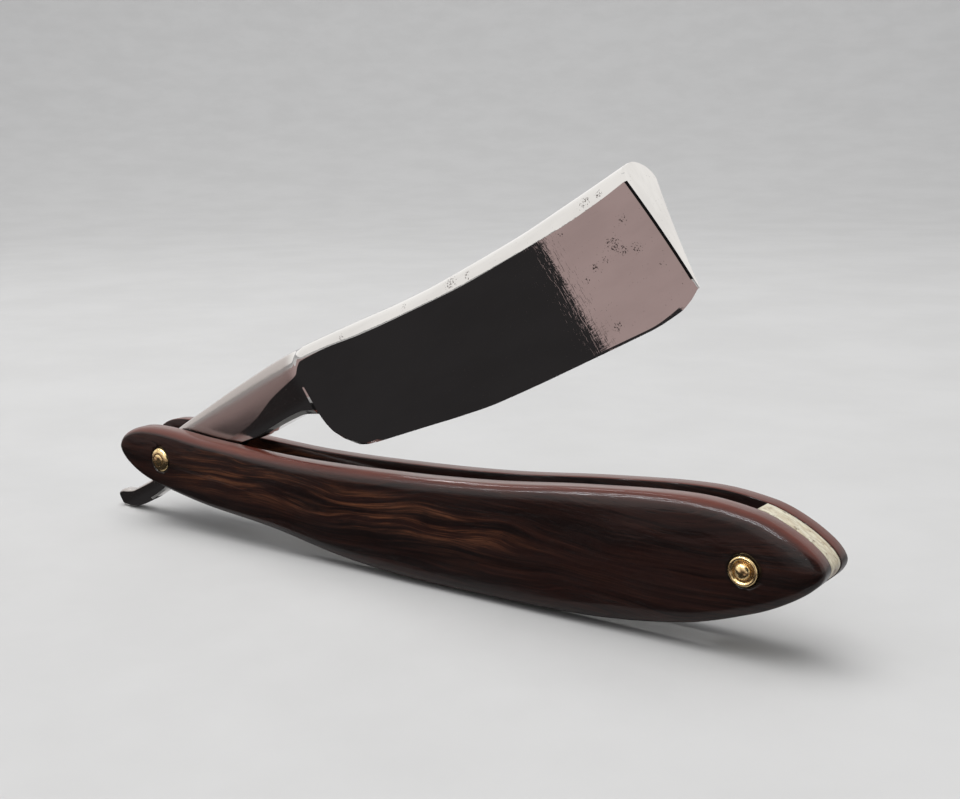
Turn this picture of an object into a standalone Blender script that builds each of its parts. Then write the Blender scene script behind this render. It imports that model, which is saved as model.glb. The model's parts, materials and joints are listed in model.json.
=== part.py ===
"""Straight razor: a steel blade that turns on a brass pin between two hardwood scales.

The part's frame: X runs along the handle from the pivot pin to the wedge pin, Y across it, Z up.
The origin is on the scales' lower edge, where a stand carries the razor. Dimensions here are in
millimetres, and meshes are made in metres.
"""

import math

import bmesh
import bpy
from mathutils import Vector

METRES = 0.001

# The handle, its outline measured from the pivot pin: x along the handle, z up
PIN_SPACING = 127.5
PIVOT_X = -68.0
PIVOT_Z = 13.5
SCALE_THICKNESS = 4.0
GAP_AT_PIVOT = 6.4
GAP_AT_WEDGE = 3.8
ROUNDING_CURVE = ((-13.0, 1.2), (12.0, 1.5), (38.0, 2.4), (140.0, 2.4))
ROUNDING_DEPTH_CURVE = ((-14.0, 2.2), (40.0, 2.0), (80.0, 1.8), (141.0, 1.8))
ROUNDING_STEPS = 4
TIGHTEST_INSET = 0.75  # as a share of the outline's own radius, so that an inset never folds over
INNER_BREAK = 0.25
NOSE_CENTRE = Vector((118.0, -0.5))  # at the butt the rounding widens, drawn towards this point
NOSE_SHARE = 0.27
NOSE_WEIGHT_CURVE = ((-14.0, 0.0), (104.0, 0.0), (122.0, 1.0), (141.0, 1.0))
SCALE_OUTLINE = (
    (0.0, 6.1), (12.0, 5.2), (36.0, 4.4), (60.0, 5.0), (80.0, 6.2), (100.0, 8.3), (118.0, 9.5),
    (127.7, 8.5), (132.8, 6.7), (137.4, 3.85), (139.2, 1.4), (138.3, -0.8), (134.2, -4.0),
    (128.4, -6.9), (117.0, -10.6),
    (100.0, -12.9), (80.0, -13.5), (60.0, -13.4), (46.0, -12.3), (30.0, -9.9), (12.0, -8.1),
    (1.5, -6.4), (-6.0, -4.6), (-11.3, -1.7), (-13.2, 1.3), (-11.6, 4.0), (-7.0, 5.8),
)  # fmt: skip
OUTLINE_STEPS = 5

# The wedge's inner end slants from the top edge to the bottom edge
WEDGE_MIDDLE_X = 124.4
WEDGE_SLANT = 0.38
WEDGE_SIDE_GAP = 0.06
WEDGE_INSET = 0.12

# Pins, collars and washers
PIN_RADIUS = 1.2
HOLE_RADIUS = 1.3
PIVOT_COLLAR_RADIUS = 2.4
PIVOT_COLLAR_HEIGHT = 0.75
WEDGE_COLLAR_RADIUS = 2.38
WEDGE_COLLAR_HEIGHT = 0.7
CUP_RADIUS = 1.5
CUP_FLOOR = 0.3
HEAD_RADIUS = 1.3
HEAD_HEIGHT = 0.75
SEAT_MARGIN = 0.15
SEAT_DEPTH = 0.2
FIT_GAP = 0.05
WASHER_RADIUS = 3.6
WASHER_THICKNESS = 0.4
ROUND_SIDES = 32

# The blade in its own frame: u from the pivot along the blade, v up towards the spine.
# A section is a line of constant station, where u = station - lean * v, so the ends can lean.
BLADE_ANGLE = 26.8
TAIL = -25.2
HEEL = 41.4
TOE = 120.5
TOE_CHAMFER = 0.35
LEAN_CURVE = ((TAIL, 0.0), (20.0, 0.0), (HEEL, -0.096), (TOE, 0.09))
EDGE_THICKNESS = 0.08
GRIND_AT_EDGE = 0.24
HOLLOW = 0.5
SPINE_CURVE = (
    (TAIL, -1.0), (-24.6, -0.1), (-23.5, 0.0), (-21.5, -0.8), (-19.0, -1.3), (-12.8, -1.4), (-7.0, 2.0),
    (0.0, 5.0), (12.0, 5.8), (23.0, 6.4), (34.5, 6.7), (44.0, 6.3), (56.0, 5.4), (70.0, 4.1),
    (80.0, 3.6), (96.0, 3.5), (108.0, 4.0), (TOE, 4.7),
)  # fmt: skip
SHOULDER_CURVE = (
    (TAIL, -1.4), (-24.0, -0.7), (-19.0, -1.9), (-12.0, -2.2), (-5.0, -2.4), (0.0, -2.4),
    (20.0, -2.2), (26.0, -1.4), (32.0, 0.4),
    (37.0, 1.2), (41.0, 1.7), (42.7, 2.8), (44.3, 3.4), (50.0, 3.2), (60.5, 2.0), (70.5, 1.2),
    (89.0, 0.3), (106.0, 0.4), (115.5, 1.0), (TOE, 1.6),
)  # fmt: skip
LOWER_CURVE = (
    (TAIL, -2.5), (-24.6, -3.4), (-22.8, -4.3), (-20.5, -4.9), (-18.0, -5.0), (-14.5, -5.1), (-8.0, -4.6),
    (0.0, -4.3), (18.0, -4.2), (24.5, -4.8), (32.0, -4.8), (37.0, -5.0), (HEEL, -6.3),
)  # fmt: skip
EDGE_CURVE = (
    (HEEL, -6.7), (41.9, -8.8), (43.1, -11.1), (45.9, -13.4), (48.3, -14.9), (51.0, -15.6),
    (55.5, -16.2), (65.0, -17.4), (72.0, -18.3), (80.5, -19.1), (93.0, -19.4), (110.5, -19.5),
    (116.3, -18.9), (118.5, -18.1), (TOE, -16.9),
)  # fmt: skip
GRIND_CURVE = (
    (HEEL, -14.0), (51.0, -15.6), (65.0, -17.4), (80.5, -19.1), (93.0, -19.4), (TOE, -19.6),
)  # fmt: skip
BEVEL_SLOPE_CURVE = ((HEEL, 1.4), (48.0, 0.5), (54.0, 0.26), (100.0, 0.3), (TOE, 0.4))
HALF_WIDTH_CURVE = (
    (TAIL, 1.0), (-24.6, 1.4), (-22.0, 1.5), (-11.0, 1.6), (-3.5, 2.55), (20.0, 2.55),
    (31.0, 2.8), (37.0, 3.2), (41.0, 3.8), (44.5, 4.6), (TOE, 4.75),
)  # fmt: skip
LOWER_HALF_WIDTH_CURVE = (
    (TAIL, 0.9), (-22.0, 1.4), (-12.0, 1.5), (-3.5, 2.45), (14.0, 2.45), (28.0, 2.1), (HEEL, 2.05),
)  # fmt: skip
CROWN_POWER_CURVE = (
    (TAIL, 3.0), (-12.0, 3.5), (-2.0, 5.0), (18.0, 4.0), (41.0, 2.6), (56.0, 2.0), (TOE, 2.0),
)  # fmt: skip
CROWN_STEPS = 6
FACE_STEPS = 7


def clear_scene():
    for thing in list(bpy.data.objects):
        bpy.data.objects.remove(thing)


def material(name, colour, roughness, metallic):
    made = bpy.data.materials.new(name)
    made.use_nodes = True
    shader = made.node_tree.nodes["Principled BSDF"]
    shader.inputs["Base Color"].default_value = (*colour, 1.0)
    shader.inputs["Roughness"].default_value = roughness
    shader.inputs["Metallic"].default_value = metallic
    made.diffuse_color = (*colour, 1.0)
    return made


def through(points):
    """A smooth curve y(x) through points sorted by x, which never overshoots them."""
    xs, ys = zip(*points)
    slopes = [(y1 - y0) / (x1 - x0) for (x0, y0), (x1, y1) in zip(points, points[1:])]
    tangents = [slopes[0]]
    for before, after in zip(slopes, slopes[1:]):
        same_way = before * after > 0
        tangents.append(2 * before * after / (before + after) if same_way else 0.0)
    tangents.append(slopes[-1])

    def curve(x):
        x = min(max(x, xs[0]), xs[-1])
        i = next(k for k in range(len(slopes)) if x <= xs[k + 1])
        width = xs[i + 1] - xs[i]
        t = (x - xs[i]) / width
        rise = ys[i + 1] - ys[i]
        left, right = width * tangents[i], width * tangents[i + 1]
        return ys[i] + t * (left + t * (3 * rise - 2 * left - right + t * (left + right - 2 * rise)))

    return curve


def closed_spline(points, steps):
    """A closed Catmull-Rom curve through the points, as a list of (x, z)."""
    made = []
    count = len(points)
    for i in range(count):
        p0, p1, p2, p3 = (Vector(points[(i + k) % count]) for k in (-1, 0, 1, 2))
        reach = (p2 - p1).length
        m1 = (p2 - p0) * reach / ((p1 - p0).length + reach)
        m2 = (p3 - p1) * reach / ((p3 - p2).length + reach)
        for k in range(steps):
            t = k / steps
            made.append(
                p1 * (2 * t**3 - 3 * t**2 + 1)
                + p2 * (3 * t**2 - 2 * t**3)
                + m1 * (t**3 - 2 * t**2 + t)
                + m2 * (t**3 - t**2)
            )
    return made


def radius_at(outline, i):
    """The radius of the circle through a point of a closed outline and its neighbours."""
    before, here, after = outline[i - 1], outline[i], outline[(i + 1) % len(outline)]
    doubled_area = abs((here - before).cross(after - before))
    sides = (here - before).length * (after - here).length * (after - before).length
    return sides / (2 * doubled_area + 1e-9)


def inset(outline, amount_at):
    """The closed clockwise outline moved inwards by amount_at(x) along each point's normal."""
    made = []
    count = len(outline)
    radii = [radius_at(outline, i) for i in range(count)]
    for i, point in enumerate(outline):
        along = (outline[(i + 1) % count] - outline[i - 1]).normalized()
        tightest = min(radii[(i + k) % count] for k in (-2, -1, 0, 1, 2))
        reach = min(amount_at(point.x), TIGHTEST_INSET * tightest)
        made.append(point + Vector((along.y, -along.x)) * reach)
    return made


def drawn_in(outline, share):
    """The outline moved inwards by a share of its rounding."""
    made = []
    for point, moved in zip(outline, inset(outline, lambda x: share * rounding(x))):
        nose = point.lerp(NOSE_CENTRE, NOSE_SHARE * share)
        made.append(moved.lerp(nose, nose_weight(point.x)))
    return made


def mesh_object(name, bm, finish):
    bmesh.ops.recalc_face_normals(bm, faces=bm.faces)
    bmesh.ops.scale(bm, vec=Vector((METRES,) * 3), verts=bm.verts)
    mesh = bpy.data.meshes.new(name)
    bm.to_mesh(mesh)
    bm.free()
    made = bpy.data.objects.new(name, mesh)
    made.data.materials.append(finish)
    made.data.shade_smooth()
    made.data.set_sharp_from_angle(angle=math.radians(35))
    bpy.context.scene.collection.objects.link(made)
    return made


def loft(name, rings, finish):
    """A closed body through rings of (x, y, z) points, capped at both ends."""
    bm = bmesh.new()
    rows = [[bm.verts.new(point) for point in ring] for ring in rings]
    for low, high in zip(rows, rows[1:]):
        for i in range(len(low)):
            bm.faces.new((low[i - 1], low[i], high[i], high[i - 1]))
    bm.faces.new(rows[0])
    bm.faces.new(rows[-1])
    return mesh_object(name, bm, finish)


def turned(profile):
    """The side of a round body about Y, from a profile of (radius, y) points."""
    bm = bmesh.new()
    rows = []
    angles = [2 * math.pi * k / ROUND_SIDES for k in range(ROUND_SIDES)]
    for radius, y in profile:
        rows.append([bm.verts.new((radius * math.cos(a), y, radius * math.sin(a))) for a in angles])
    for low, high in zip(rows, rows[1:]):
        for i in range(ROUND_SIDES):
            bm.faces.new((low[i - 1], low[i], high[i], high[i - 1]))
    return bm, rows


def turned_solid(name, profile, finish):
    """A round body about Y from a profile of (radius, y) points, closed by a flat face at each end."""
    bm, rows = turned(profile)
    bm.faces.new(rows[0])
    bm.faces.new(rows[-1])
    return mesh_object(name, bm, finish)


def turned_ring(name, profile, finish):
    """As turned_solid, but the profile is a closed loop, so the body has a hole."""
    bm, rows = turned(profile)
    for i in range(ROUND_SIDES):
        bm.faces.new((rows[-1][i - 1], rows[-1][i], rows[0][i], rows[0][i - 1]))
    return mesh_object(name, bm, finish)


def cut(target, cutter):
    cutter.hide_render = True
    cutter.display_type = "WIRE"
    modifier = target.modifiers.new("cut_" + cutter.name, "BOOLEAN")
    modifier.operation = "DIFFERENCE"
    modifier.solver = "EXACT"
    modifier.object = cutter


def place(thing, x, y, z, turn_y=0.0, turn_z=0.0):
    """Puts an object at a point in millimetres, with turns in degrees."""
    thing.location = Vector((x, y, z)) * METRES
    thing.rotation_euler = (0.0, math.radians(turn_y), math.radians(turn_z))


def half_gap(x):
    """Half the slot between the scales, x from the pivot."""
    return (GAP_AT_PIVOT + (GAP_AT_WEDGE - GAP_AT_PIVOT) * x / PIN_SPACING) / 2


def scale_turn(side):
    """The angle of a scale about Z, for side -1 at the front and 1 at the back."""
    return side * math.degrees(math.atan((GAP_AT_WEDGE - GAP_AT_PIVOT) / 2 / PIN_SPACING))


def make_scale(name, side, finish):
    """A scale whose inner face is flat and whose outer edge is rounded, with its seats and holes."""
    outline = closed_spline(SCALE_OUTLINE, OUTLINE_STEPS)

    def ring(points, deep_at):
        return [(p.x, side * deep_at(p.x), p.y) for p in points]

    rings = [ring(inset(outline, lambda x: INNER_BREAK), lambda x: 0.0)]
    rings.append(ring(outline, lambda x: INNER_BREAK))
    for k in range(ROUNDING_STEPS + 1):
        angle = math.pi / 2 * k / ROUNDING_STEPS
        points = drawn_in(outline, 1 - math.cos(angle))
        below = 1 - math.sin(angle)
        rings.append(ring(points, lambda x: SCALE_THICKNESS - rounding_depth(x) * below))
    scale = loft(name, rings, finish)
    place(scale, PIVOT_X, side * half_gap(0.0), PIVOT_Z, turn_z=scale_turn(side))
    for label, x, collar_radius in (
        ("pivot", 0.0, PIVOT_COLLAR_RADIUS),
        ("wedge", PIN_SPACING, WEDGE_COLLAR_RADIUS),
    ):
        middle = side * (half_gap(x) + SCALE_THICKNESS / 2)
        hole = turned_solid(f"{name}_{label}_drill", rod_profile(HOLE_RADIUS, SCALE_THICKNESS), finish)
        place(hole, PIVOT_X + x, middle, PIVOT_Z)
        cut(scale, hole)
        seat = turned_solid(
            f"{name}_{label}_seat", rod_profile(collar_radius + SEAT_MARGIN, SEAT_DEPTH), finish
        )
        place(seat, *outer_point(x, side, 0.0), turn_z=scale_turn(side))
        cut(scale, seat)
    return scale


def outer_point(x, side, lift):
    """The point over a pin's middle, lifted off the scale's outer face."""
    return PIVOT_X + x, side * (half_gap(x) + SCALE_THICKNESS + lift), PIVOT_Z


def rod_profile(radius, half_length):
    return [(radius, -half_length), (radius, half_length)]


def make_wedge(finish):
    """The spacer, cut from the scales' outline and thinner towards the butt."""
    outline = inset(closed_spline(SCALE_OUTLINE, OUTLINE_STEPS), lambda x: WEDGE_INSET)

    def beyond(p):
        return p.x - WEDGE_MIDDLE_X - WEDGE_SLANT * p.y

    kept = []
    for i, point in enumerate(outline):
        before = outline[i - 1]
        if (beyond(before) > 0) != (beyond(point) > 0):
            share = beyond(before) / (beyond(before) - beyond(point))
            kept.append(before.lerp(point, share))
        if beyond(point) > 0:
            kept.append(point)

    def side_ring(side):
        return [(p.x, side * (half_gap(p.x) - WEDGE_SIDE_GAP), p.y) for p in kept]

    wedge = loft("wedge", [side_ring(-1), side_ring(1)], finish)
    place(wedge, PIVOT_X, 0.0, PIVOT_Z)
    hole = turned_solid("wedge_drill", rod_profile(HOLE_RADIUS, GAP_AT_PIVOT), finish)
    place(hole, PIVOT_X + PIN_SPACING, 0.0, PIVOT_Z)
    cut(wedge, hole)
    return wedge


def make_pivot_pin(finish):
    """A rod whose ends are peened to low domes in the middle of their collars."""
    top = half_gap(0.0) + SCALE_THICKNESS - SEAT_DEPTH + FIT_GAP + PIVOT_COLLAR_HEIGHT
    dome = [(PIN_RADIUS, top), (PIN_RADIUS * 0.8, top + 0.12), (PIN_RADIUS * 0.4, top + 0.18)]
    profile = [(radius, -y) for radius, y in reversed(dome)] + dome
    pin = turned_solid("pivot_pin", profile, finish)
    place(pin, PIVOT_X, 0.0, PIVOT_Z)
    return pin


def make_wedge_pin(finish):
    """A rod whose ends are peened to round heads that sit in their cups."""
    floor = half_gap(PIN_SPACING) + SCALE_THICKNESS - SEAT_DEPTH + 2 * FIT_GAP + CUP_FLOOR
    dome = [(PIN_RADIUS, floor), (HEAD_RADIUS, floor)]
    for k in range(1, ROUNDING_STEPS + 1):
        angle = math.pi / 2 * k / (ROUNDING_STEPS + 0.5)
        dome.append((HEAD_RADIUS * math.cos(angle), floor + HEAD_HEIGHT * math.sin(angle)))
    profile = [(radius, -y) for radius, y in reversed(dome)] + dome
    pin = turned_solid("wedge_pin", profile, finish)
    place(pin, PIVOT_X + PIN_SPACING, 0.0, PIVOT_Z)
    return pin


def place_collar(collar, x, side):
    place(collar, *outer_point(x, side, FIT_GAP - SEAT_DEPTH), turn_z=scale_turn(side))


def make_pivot_collar(name, side, finish):
    """A domed ring, flush with the pin's end."""
    profile = [(HOLE_RADIUS, 0.0), (PIVOT_COLLAR_RADIUS, 0.0)]
    for k in range(ROUNDING_STEPS + 1):
        share = k / ROUNDING_STEPS
        radius = PIVOT_COLLAR_RADIUS + (HOLE_RADIUS - PIVOT_COLLAR_RADIUS) * share
        profile.append((radius, PIVOT_COLLAR_HEIGHT * (0.35 + 0.65 * math.sqrt(share))))
    collar = turned_ring(name, [(radius, side * y) for radius, y in profile], finish)
    place_collar(collar, 0.0, side)
    return collar


def make_wedge_collar(name, side, finish):
    """A cupped ring: a raised rim round a hollow in which the pin's head sits."""
    rim = (WEDGE_COLLAR_RADIUS + CUP_RADIUS) / 2
    profile = [(HOLE_RADIUS, 0.0), (WEDGE_COLLAR_RADIUS, 0.0), (WEDGE_COLLAR_RADIUS, CUP_FLOOR)]
    profile.append((rim + 0.3, WEDGE_COLLAR_HEIGHT * 0.85))
    profile.append((rim, WEDGE_COLLAR_HEIGHT))
    profile.append((rim - 0.25, WEDGE_COLLAR_HEIGHT * 0.9))
    profile += [(CUP_RADIUS, CUP_FLOOR), (HOLE_RADIUS, CUP_FLOOR)]
    collar = turned_ring(name, [(radius, side * y) for radius, y in profile], finish)
    place_collar(collar, PIN_SPACING, side)
    return collar


def make_washer(name, side, finish):
    """A flat ring between the tang and the scale."""
    inner = HALF_TANG + FIT_GAP * 2
    profile = [(HOLE_RADIUS, inner), (WASHER_RADIUS, inner)]
    profile += [(WASHER_RADIUS, inner + WASHER_THICKNESS), (HOLE_RADIUS, inner + WASHER_THICKNESS)]
    washer = turned_ring(name, [(radius, side * y) for radius, y in profile], finish)
    place(washer, PIVOT_X, 0.0, PIVOT_Z)
    return washer


rounding = through(ROUNDING_CURVE)
rounding_depth = through(ROUNDING_DEPTH_CURVE)
nose_weight = through(NOSE_WEIGHT_CURVE)
lean = through(LEAN_CURVE)
spine = through(SPINE_CURVE)
shoulder = through(SHOULDER_CURVE)
lower = through(LOWER_CURVE)
cutting_edge = through(EDGE_CURVE)
grind_line = through(GRIND_CURVE)
bevel_slope = through(BEVEL_SLOPE_CURVE)
half_width = through(HALF_WIDTH_CURVE)
lower_half_width = through(LOWER_HALF_WIDTH_CURVE)
crown_power = through(CROWN_POWER_CURVE)
HALF_TANG = half_width(0.0)


def ground_half_thickness(u, v):
    """Half the blade's thickness on its ground face, a wedge with a slight hollow."""
    height = (v - grind_line(u)) / (shoulder(u) - grind_line(u))
    full = half_width(u) - GRIND_AT_EDGE / 2
    return GRIND_AT_EDGE / 2 + full * height * (1 - HOLLOW * (1 - height))


def bevel_top(u):
    """Where the cutting bevel meets the ground face."""
    edge, slope = cutting_edge(u), bevel_slope(u)
    low, high = edge, shoulder(u)
    for _ in range(30):
        middle = (low + high) / 2
        if EDGE_THICKNESS / 2 + slope * (middle - edge) < ground_half_thickness(u, middle):
            low = middle
        else:
            high = middle
    return high


def crown(u):
    """The rounded upper part of a section, from the spine down to the shoulder, as (v, half)."""
    power = 2 / crown_power(u)
    points = []
    for k in range(CROWN_STEPS + 1):
        angle = math.pi / 2 * k / CROWN_STEPS
        rise = (spine(u) - shoulder(u)) * math.cos(angle) ** power if k < CROWN_STEPS else 0.0
        points.append((shoulder(u) + rise, half_width(u) * math.sin(angle) ** power))
    return points


def blade_face(u):
    """The ground face and the bevel of a section, from the shoulder down to the edge."""
    top = bevel_top(u)
    points = []
    for k in range(1, FACE_STEPS + 1):
        v = shoulder(u) + (top - shoulder(u)) * k / FACE_STEPS
        points.append((v, ground_half_thickness(u, v)))
    return points + [(cutting_edge(u), EDGE_THICKNESS / 2)]


def shank_face(u):
    """The lower side of the tail, tang or shank, which curves in to a rounded lower edge."""
    bottom, high, low = lower(u), half_width(u), lower_half_width(u)
    depth = shoulder(u) - bottom
    points = []
    for k in range(1, FACE_STEPS + 1):
        height = 1 - 0.88 * k / FACE_STEPS
        points.append((bottom + depth * height, low + (high - low) * height**1.3))
    return points + [(bottom, low * 0.6)]


def section(u, chamfer=0.0):
    """A closed ring of the blade at one station."""
    right = crown(u) + (blade_face(u) if u >= HEEL else shank_face(u))
    if chamfer:
        right = [(v, max(half - chamfer, EDGE_THICKNESS / 2) if half else 0.0) for v, half in right]
    left = [(v, -half) for v, half in reversed(right[1:])]
    return [(u - lean(u) * v, half, v) for v, half in right + left]


def spread(start, end, count):
    return [start + (end - start) * k / count for k in range(count)]


def make_blade(finish):
    stations = spread(TAIL, -22.0, 6) + spread(-22.0, -2.0, 11) + spread(-2.0, 34.0, 10)
    stations += spread(34.0, HEEL - 0.3, 5) + [HEEL - 0.3]
    stations += spread(HEEL, 44.3, 5) + spread(44.3, 52.0, 7) + spread(52.0, 112.0, 12)
    stations += spread(112.0, TOE, 9)
    rings = [section(u) for u in stations]
    rings += [section(TOE), section(TOE + TOE_CHAMFER, chamfer=TOE_CHAMFER)]
    blade = loft("blade", rings, finish)
    place(blade, PIVOT_X, 0.0, PIVOT_Z, turn_y=-BLADE_ANGLE)
    hole = turned_solid("blade_drill", rod_profile(HOLE_RADIUS, GAP_AT_PIVOT), finish)
    place(hole, PIVOT_X, 0.0, PIVOT_Z)
    cut(blade, hole)
    return blade


def main():
    clear_scene()
    wood = material("dark_rosewood", (0.045, 0.018, 0.012), 0.35, 0.0)
    ivory = material("ivory_spacer", (0.82, 0.77, 0.6), 0.4, 0.0)
    brass = material("pale_brass", (0.8, 0.66, 0.36), 0.25, 1.0)
    steel = material("mirror_steel", (0.72, 0.71, 0.7), 0.08, 1.0)
    for name, side in (("front", -1), ("rear", 1)):
        make_scale(f"{name}_scale", side, wood)
        make_pivot_collar(f"pivot_collar_{name}", side, brass)
        make_wedge_collar(f"wedge_collar_{name}", side, brass)
        make_washer(f"pivot_washer_{name}", side, brass)
    make_wedge(ivory)
    make_pivot_pin(brass)
    make_wedge_pin(brass)
    make_blade(steel)


main()
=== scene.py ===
"""Looks of the straight razor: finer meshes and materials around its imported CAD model.

Lengths in the tables are in millimetres. The handle's x runs from the pivot pin to the wedge pin
and its z runs up, both from the pivot. The blade has its own u along its length and v up towards
the spine, from the same place. Curves are tables of points, and through() makes functions of them.
"""

import json
import math

import bmesh
import bpy
from mathutils import Euler, Matrix, Vector, noise


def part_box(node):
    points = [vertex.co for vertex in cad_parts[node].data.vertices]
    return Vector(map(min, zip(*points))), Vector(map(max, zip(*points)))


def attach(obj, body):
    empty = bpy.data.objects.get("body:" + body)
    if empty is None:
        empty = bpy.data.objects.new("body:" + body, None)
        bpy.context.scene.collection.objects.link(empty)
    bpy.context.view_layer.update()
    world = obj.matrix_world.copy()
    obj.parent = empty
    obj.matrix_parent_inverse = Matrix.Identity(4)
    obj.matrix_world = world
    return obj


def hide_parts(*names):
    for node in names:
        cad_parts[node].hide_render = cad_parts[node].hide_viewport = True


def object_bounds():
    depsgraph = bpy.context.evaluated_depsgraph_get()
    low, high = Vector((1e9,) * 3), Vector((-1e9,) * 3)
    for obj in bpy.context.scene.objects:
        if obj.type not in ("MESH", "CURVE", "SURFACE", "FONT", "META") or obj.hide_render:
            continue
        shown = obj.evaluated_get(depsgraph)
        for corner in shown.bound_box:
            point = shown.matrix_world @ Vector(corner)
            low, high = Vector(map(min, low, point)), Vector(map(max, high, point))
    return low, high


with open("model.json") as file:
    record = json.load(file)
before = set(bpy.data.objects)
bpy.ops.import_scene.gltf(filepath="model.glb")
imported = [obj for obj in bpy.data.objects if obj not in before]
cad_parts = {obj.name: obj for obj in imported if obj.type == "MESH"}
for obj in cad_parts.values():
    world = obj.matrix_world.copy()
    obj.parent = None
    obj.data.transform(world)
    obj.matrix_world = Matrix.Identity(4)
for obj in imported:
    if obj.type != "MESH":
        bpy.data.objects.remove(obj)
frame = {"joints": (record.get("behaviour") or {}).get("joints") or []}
cad_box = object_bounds()

MM = 0.001


def middle_of(node):
    """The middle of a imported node's box, in millimetres."""
    low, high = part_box(node)
    return (low + high) / 2 / MM


PIVOT = Vector([value / MM for value in frame["joints"][0]["pos_m"]])
PIN_SPACING = round(middle_of("wedge_pin").x - PIVOT.x, 3)

# Scales
SCALE_THICKNESS = 4.0
GAP_AT_PIVOT = 6.4
GAP_AT_WEDGE = 3.8
ROUNDING_CURVE = ((-13.0, 1.2), (12.0, 1.5), (38.0, 2.4), (90.0, 2.5), (112.0, 3.6), (141.0, 3.6))
ROUNDING_DEPTH_CURVE = ((-14.0, 2.2), (40.0, 2.0), (80.0, 1.8), (141.0, 1.8))
ROUNDING_STEPS = 14
OUTLINE_REACH = 3
TIGHTEST_INSET = 0.75
NOSE_CENTRE = Vector((118.0, -0.5))
NOSE_SHARE = 0.27
NOSE_WEIGHT_CURVE = ((-14.0, 0.0), (104.0, 0.0), (122.0, 1.0), (141.0, 1.0))
INNER_BREAK = 0.25
INNER_BREAK_STEPS = 3
FACE_CROWN = 0.13
FACE_RINGS = 6
FACE_REACH = 0.9
MIDDLE_LINE = ((-14.0, 1.2), (12.0, -1.5), (46.0, -3.9), (80.0, -3.6), (141.0, 1.0))
MIDDLE_SETBACK = 9.0
DRILL_PAST = 1.0
SCALE_OUTLINE = (
    (0.0, 6.1), (12.0, 5.2), (36.0, 4.4), (60.0, 5.0), (80.0, 6.2), (100.0, 8.3), (118.0, 9.5),
    (127.7, 8.5), (132.8, 6.7), (137.4, 3.85), (139.2, 1.4), (138.3, -0.8), (134.2, -4.0),
    (128.4, -6.9), (117.0, -10.6), (100.0, -12.9), (80.0, -13.5), (60.0, -13.4), (46.0, -12.3),
    (30.0, -9.9), (12.0, -8.1), (1.5, -6.4), (-6.0, -4.6), (-11.3, -1.7), (-13.2, 1.3),
    (-11.6, 4.0), (-7.0, 5.8),
)  # fmt: skip
OUTLINE_STEPS = 16

# Wedge
WEDGE_MIDDLE_X = 124.4
WEDGE_SLANT = 0.38
WEDGE_SIDE_GAP = 0.06
WEDGE_INSET = 0.12
WEDGE_BREAK = 0.12

# Pins, collars and washers
PIN_RADIUS = 1.2
PIN_DOME = 0.18
PIN_DOME_STEPS = 10
HOLE_RADIUS = 1.3
PIVOT_COLLAR_RADIUS = 2.4
PIVOT_COLLAR_HEIGHT = 0.75
PIVOT_COLLAR_RIM = 0.35
WEDGE_COLLAR_RADIUS = 2.38
WEDGE_COLLAR_HEIGHT = 0.7
COLLAR_BREAK = 0.04
COLLAR_STEPS = 15
CUP_RADIUS = 1.5
CUP_FLOOR = 0.3
HEAD_RADIUS = 1.3
HEAD_HEIGHT = 0.75
HEAD_BREAK = 0.06
HEAD_STEPS = 14
SEAT_MARGIN = 0.15
SEAT_DEPTH = 0.2
FIT_GAP = 0.05
WASHER_RADIUS = 3.6
WASHER_THICKNESS = 0.4
WASHER_BREAK = 0.05
ROUND_SIDES = 96
PEENING_SCALE = 1.7

# Blade
BLADE_ANGLE = 26.8
TAIL = -25.2
HEEL = 41.4
TOE = 120.5
TOE_CHAMFER = 0.35
CORNER_BREAK = 0.05
HEEL_STEP = 0.3
LEAN_CURVE = ((TAIL, 0.0), (20.0, 0.0), (HEEL, -0.096), (TOE, 0.09))
EDGE_THICKNESS = 0.08
GRIND_AT_EDGE = 0.24
HOLLOW = 0.5
SHANK_POWER = 1.3
SHANK_BOTTOM = 0.12
SHANK_BOTTOM_WIDTH = 0.6
SPINE_CURVE = (
    (TAIL, -1.0), (-24.6, -0.1), (-23.5, 0.0), (-21.5, -0.8), (-19.0, -1.3), (-12.8, -1.4), (-7.0, 2.0),
    (0.0, 5.0), (12.0, 5.8), (23.0, 6.4), (34.5, 6.7), (44.0, 6.3), (56.0, 5.4), (70.0, 4.1),
    (80.0, 3.6), (96.0, 3.5), (108.0, 4.0), (TOE, 4.7),
)  # fmt: skip
SHOULDER_CURVE = (
    (TAIL, -1.4), (-24.0, -0.7), (-19.0, -1.9), (-12.0, -2.2), (-5.0, -2.4), (0.0, -2.4),
    (20.0, -2.2), (26.0, -1.4), (32.0, 0.4), (37.0, 1.2), (41.0, 1.7), (42.7, 2.8), (44.3, 3.4),
    (50.0, 3.2), (60.5, 2.0), (70.5, 1.2), (89.0, 0.3), (106.0, 0.4), (115.5, 1.0), (TOE, 1.6),
)  # fmt: skip
LOWER_CURVE = (
    (TAIL, -2.5), (-24.6, -3.4), (-22.8, -4.3), (-20.5, -4.9), (-18.0, -5.0), (-14.5, -5.1), (-8.0, -4.6),
    (0.0, -4.3), (18.0, -4.2), (24.5, -4.8), (32.0, -4.8), (37.0, -5.0), (HEEL, -6.3),
)  # fmt: skip
EDGE_CURVE = (
    (HEEL, -6.7), (41.9, -8.8), (43.1, -11.1), (45.9, -13.4), (48.3, -14.9), (51.0, -15.6),
    (55.5, -16.2), (65.0, -17.4), (72.0, -18.3), (80.5, -19.1), (93.0, -19.4), (110.5, -19.5),
    (116.3, -18.9), (118.5, -18.1), (TOE, -16.9),
)  # fmt: skip
GRIND_CURVE = (
    (HEEL, -14.0), (51.0, -15.6), (65.0, -17.4), (80.5, -19.1), (93.0, -19.4), (TOE, -19.6),
)  # fmt: skip
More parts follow.
